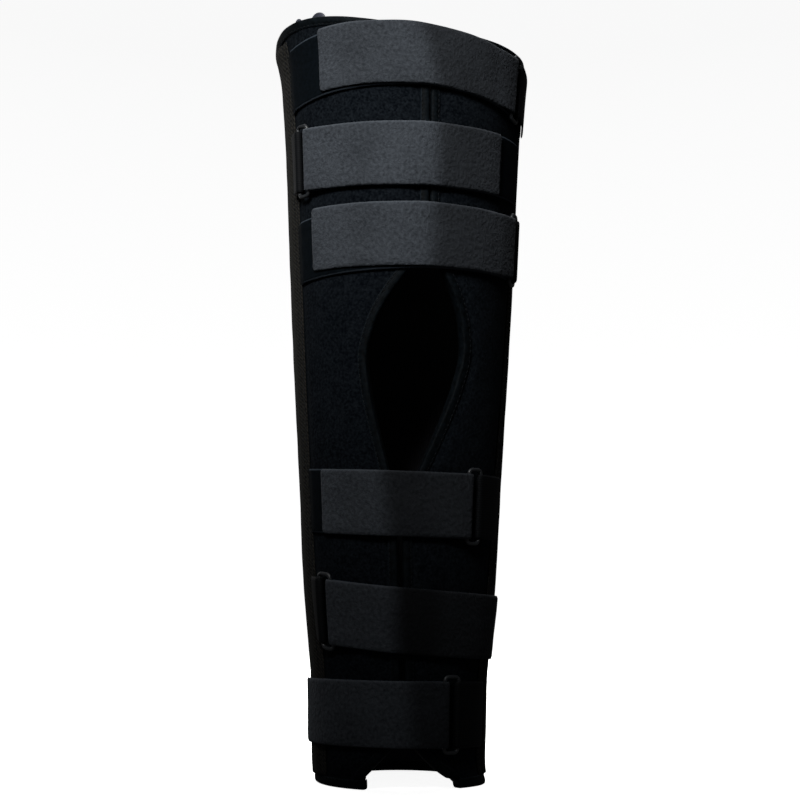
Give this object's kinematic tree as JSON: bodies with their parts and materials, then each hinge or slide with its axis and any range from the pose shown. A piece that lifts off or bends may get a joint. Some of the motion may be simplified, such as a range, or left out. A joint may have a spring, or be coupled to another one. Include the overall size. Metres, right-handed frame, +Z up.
{
  "type": "knee immobilizer",
  "caption": "Long tapered foam wrap for the leg, closed down the front by ringed hook-and-loop straps, with a kneecap opening and an arch over the foot.",
  "frame": {"origin": "on the floor, under the middle of the upright brace's box", "axes": "+Z up along the leg, from the lower rim to the upper rim; the front, where the flaps meet, faces -Y"},
  "size_m": [0.2116, 0.1978, 0.6139],
  "materials": {
    "foam_fabric": "matte black loop fabric over foam",
    "binding_tape": "smooth woven black binding tape",
    "pocket_webbing": "ribbed brown-black webbing",
    "strap_loop": "brushed charcoal loop nap",
    "tab_webbing": "woven black webbing",
    "ring_plastic": "moulded black plastic with a soft gloss",
    "stay_tip": "dipped grey-violet plastic end"
  },
  "bodies": {
    "root": {"wrap": "foam_fabric", "top_binding": "binding_tape", "bottom_binding": "binding_tape", "left_flap_binding": "binding_tape", "right_flap_binding": "binding_tape", "left_stay_pocket": "pocket_webbing", "right_stay_pocket": "pocket_webbing", "thigh_strap_upper": "strap_loop", "thigh_ring_upper": "ring_plastic", "thigh_ring_tab_upper": "tab_webbing", "thigh_strap_middle": "strap_loop", "thigh_ring_middle": "ring_plastic", "thigh_ring_tab_middle": "tab_webbing", "thigh_strap_lower": "strap_loop", "thigh_ring_lower": "ring_plastic", "thigh_ring_tab_lower": "tab_webbing", "shin_strap_upper": "strap_loop", "shin_ring_upper": "ring_plastic", "shin_ring_tab_upper": "tab_webbing", "shin_strap_middle": "strap_loop", "shin_ring_middle": "ring_plastic", "shin_ring_tab_middle": "tab_webbing", "shin_strap_lower": "strap_loop", "shin_ring_lower": "ring_plastic", "shin_ring_tab_lower": "tab_webbing", "front_stay_tip": "stay_tip", "side_stay_tip": "stay_tip"}
  },
  "joints": []
}
